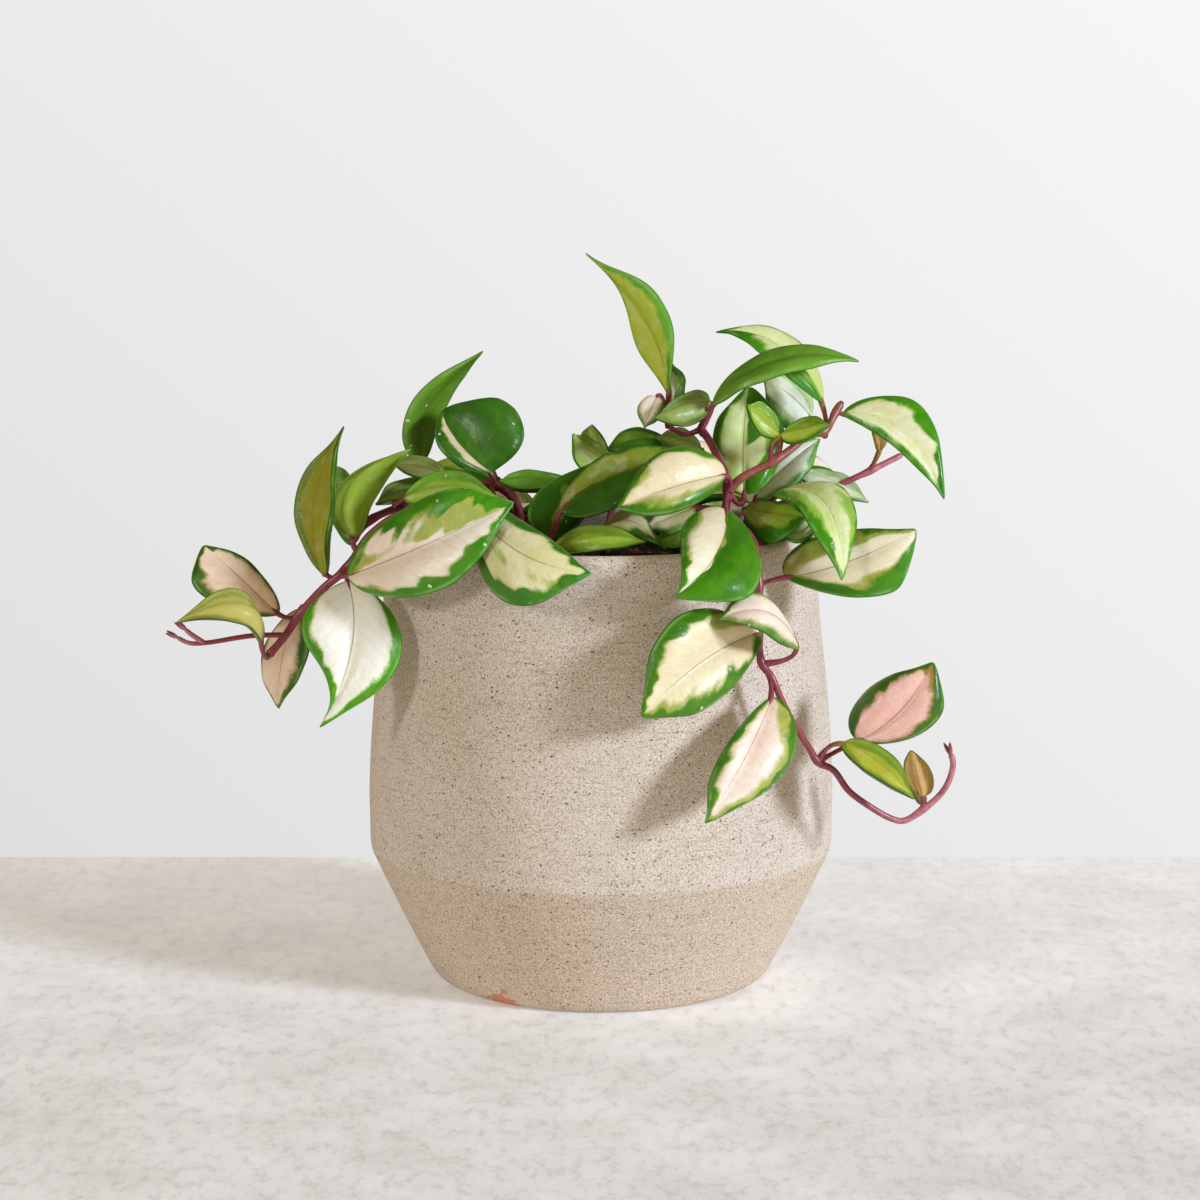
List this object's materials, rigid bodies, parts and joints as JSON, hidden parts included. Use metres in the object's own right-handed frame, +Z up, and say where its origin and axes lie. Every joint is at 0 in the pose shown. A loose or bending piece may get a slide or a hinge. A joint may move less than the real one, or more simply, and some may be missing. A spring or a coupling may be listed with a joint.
{
  "type": "potted tricolor wax plant",
  "caption": "Trailing wax plant with cream, pink and green waxy leaves on thin maroon stems, in soil in a round matt stoneware planter with a low crease.",
  "frame": {"origin": "centre of the planter's flat foot, in the plane that it stands on", "axes": "+Z up along the planter's axis, -Y towards the pictured front, +X to the right seen from the front"},
  "size_m": [0.2498, 0.1995, 0.2397],
  "materials": {
    "stoneware": "matt, finely speckled, unglazed look",
    "potting_soil": "rough, dark, crumbly peat and bark",
    "waxy_leaf": "waxy, half gloss, green with cream, yellow and pink"
  },
  "bodies": {
    "root": {"pot": "stoneware", "soil": "potting_soil", "vine_left": "waxy_leaf", "vine_left_rear": "waxy_leaf", "vine_centre": "waxy_leaf", "vine_right": "waxy_leaf", "vine_right_low": "waxy_leaf", "vine_trailing": "waxy_leaf", "vine_back_centre": "waxy_leaf", "vine_back_left": "waxy_leaf", "vine_back_right": "waxy_leaf"}
  },
  "joints": []
}
